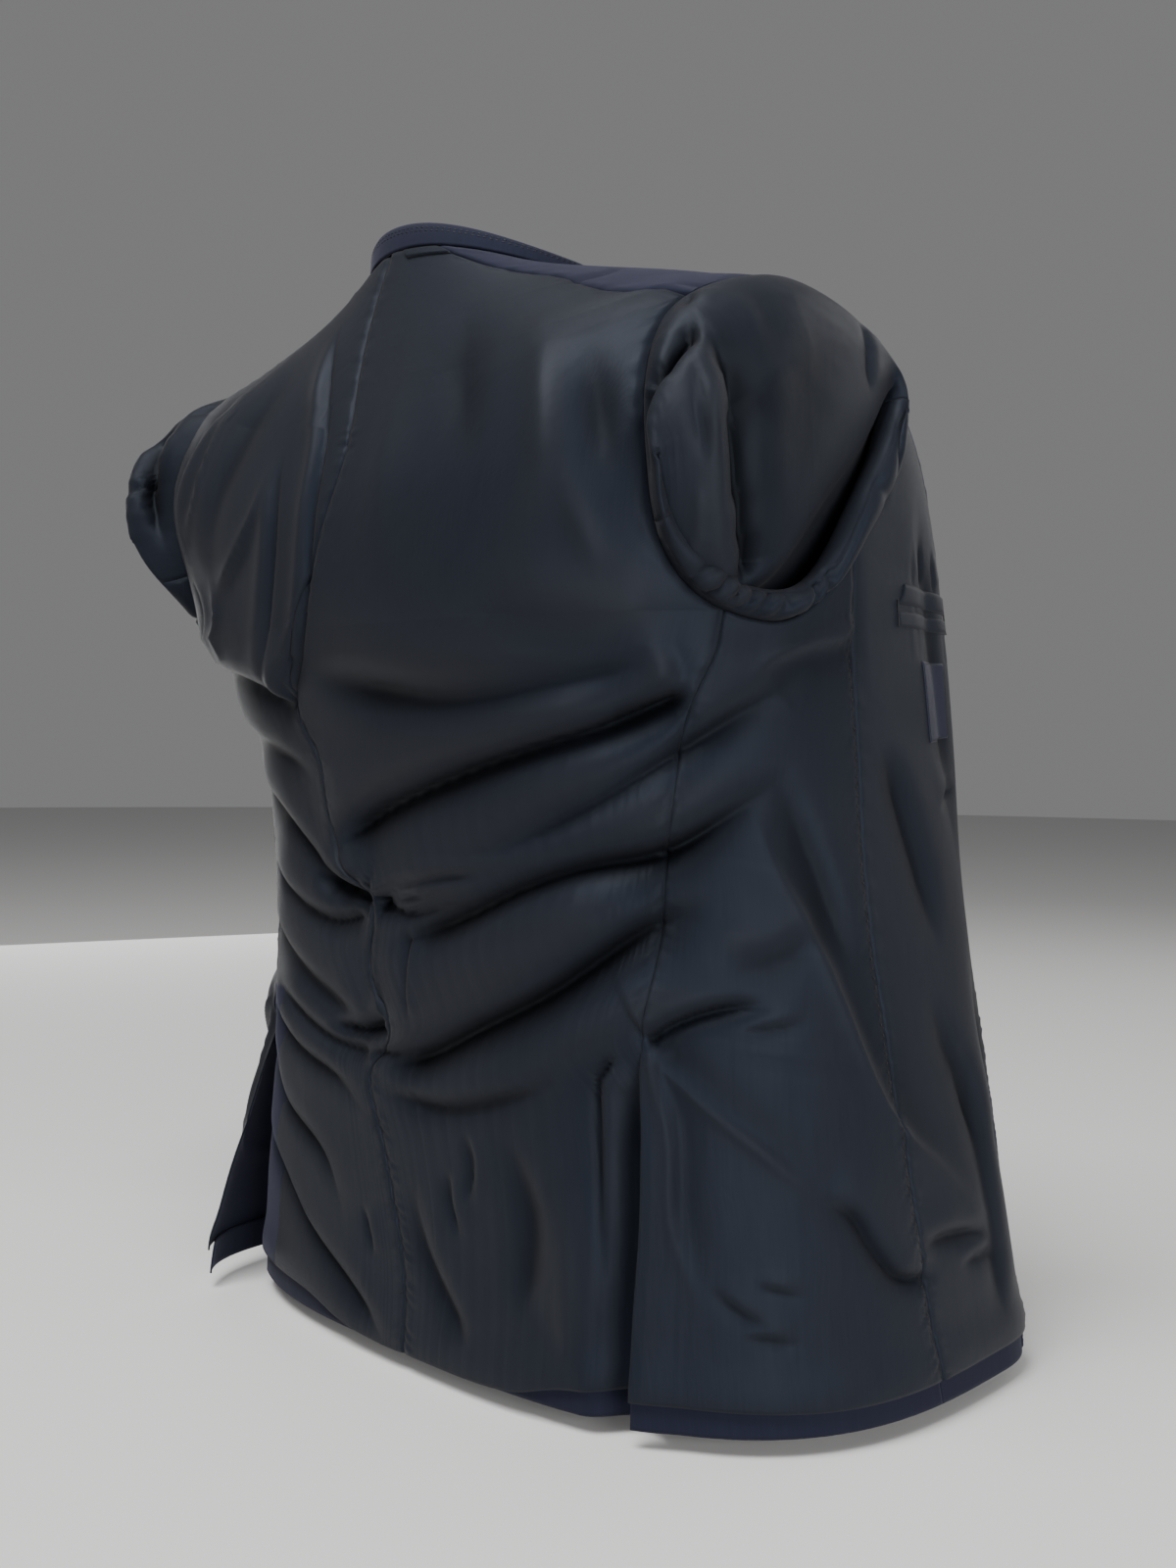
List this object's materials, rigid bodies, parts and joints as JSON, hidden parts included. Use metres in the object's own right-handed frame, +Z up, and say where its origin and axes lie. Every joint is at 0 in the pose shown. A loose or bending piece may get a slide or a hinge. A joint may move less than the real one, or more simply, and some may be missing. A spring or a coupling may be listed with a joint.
{
  "type": "blazer",
  "caption": "Single-breasted tailored jacket turned inside out in its worn shape: lining outside, sleeves hanging inside, fronts open, side vents.",
  "frame": {"origin": "middle of the neck opening, level with the back neck seam, where the collar rests on what wears it", "axes": "+Z up, the garment's front faces -Y, +X towards the wearer's left"},
  "size_m": [0.64, 0.4047, 0.7539],
  "materials": {
    "lining": "satin lining, slate blue-black",
    "wool": "matte navy wool",
    "label": "woven label left bare",
    "button": "dark navy buttons"
  },
  "bodies": {
    "root": {"back_left": "lining", "back_right": "lining", "side_left": "lining", "side_right": "lining", "front_left": "lining", "front_right": "lining", "sleeve_upper_left": "lining", "sleeve_upper_right": "lining", "sleeve_under_left": "lining", "sleeve_under_right": "lining", "pocket_welt_upper": "lining", "pocket_welt_lower": "lining", "hanger_loop": "lining", "facing_left": "wool", "facing_right": "wool", "lapel_left": "wool", "lapel_right": "wool", "collar": "wool", "hem_back_left": "wool", "hem_back_right": "wool", "hem_side_left": "wool", "hem_side_right": "wool", "hem_front_left": "wool", "hem_front_right": "wool", "label": "label", "front_button_1": "button", "front_button_2": "button"}
  },
  "joints": []
}
